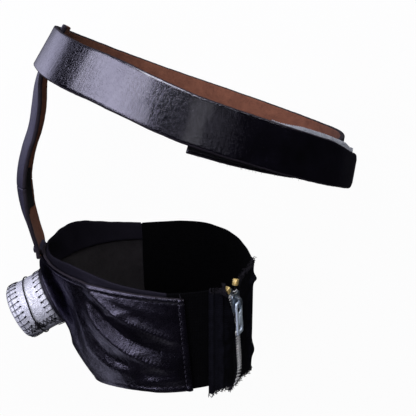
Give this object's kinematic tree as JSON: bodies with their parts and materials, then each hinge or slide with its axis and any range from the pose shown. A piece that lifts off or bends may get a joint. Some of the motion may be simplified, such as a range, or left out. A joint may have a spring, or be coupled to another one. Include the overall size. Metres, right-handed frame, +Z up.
{
  "type": "leather mouth mask",
  "caption": "Black leather mouth mask with a laced silver drum at the front, a zipped neck band, and straps over the nose and round the head.",
  "frame": {"origin": "middle of the bounding box's base, the surface the mask lies on", "axes": "+X towards the wearer's back, +Y towards the wearer's crown, +Z up and to the wearer's left, because the mask lies on its right side"},
  "size_m": [0.1954, 0.2084, 0.1406],
  "materials": {
    "leather": "glossy black, finely grained",
    "closure_patch": "black, fuzzy",
    "facing": "black, matt",
    "elastic": "black, ribbed and matt",
    "zip_tape": "black, woven, frayed at the ends",
    "zip_teeth": "bright",
    "zip_slider": "grey, die-cast, worn",
    "brass": "bright",
    "silver_leather": "metallic silver, creased",
    "cord": "black, waxed"
  },
  "bodies": {
    "mask": {"headband_strap": "leather", "loop_patch": "closure_patch", "hook_patch": "closure_patch", "mask_body": "leather", "top_facing": "facing", "elastic_left": "elastic", "elastic_right": "elastic", "zipper_tape_left": "zip_tape", "zipper_tape_right": "zip_tape", "teeth_left": "zip_teeth", "teeth_right": "zip_teeth", "zipper_slider": "zip_slider", "top_stop_left": "brass", "top_stop_right": "brass", "front_strap_lower": "leather", "front_strap_upper": "leather", "splice_patch": "closure_patch", "canister_flange": "leather", "canister_wall": "silver_leather", "canister_end": "silver_leather", "canister_cord": "cord"},
    "pull": {"zipper_pull": "zip_slider"}
  },
  "joints": [
    {"name": "pull_hinge", "type": "hinge", "parent": "mask", "child": "pull", "pos_m": [0.02771, -0.03518, 0.11956], "axis": [-0.6366, -0.1191, 0.7619], "range_deg": [0, 170]}
  ]
}
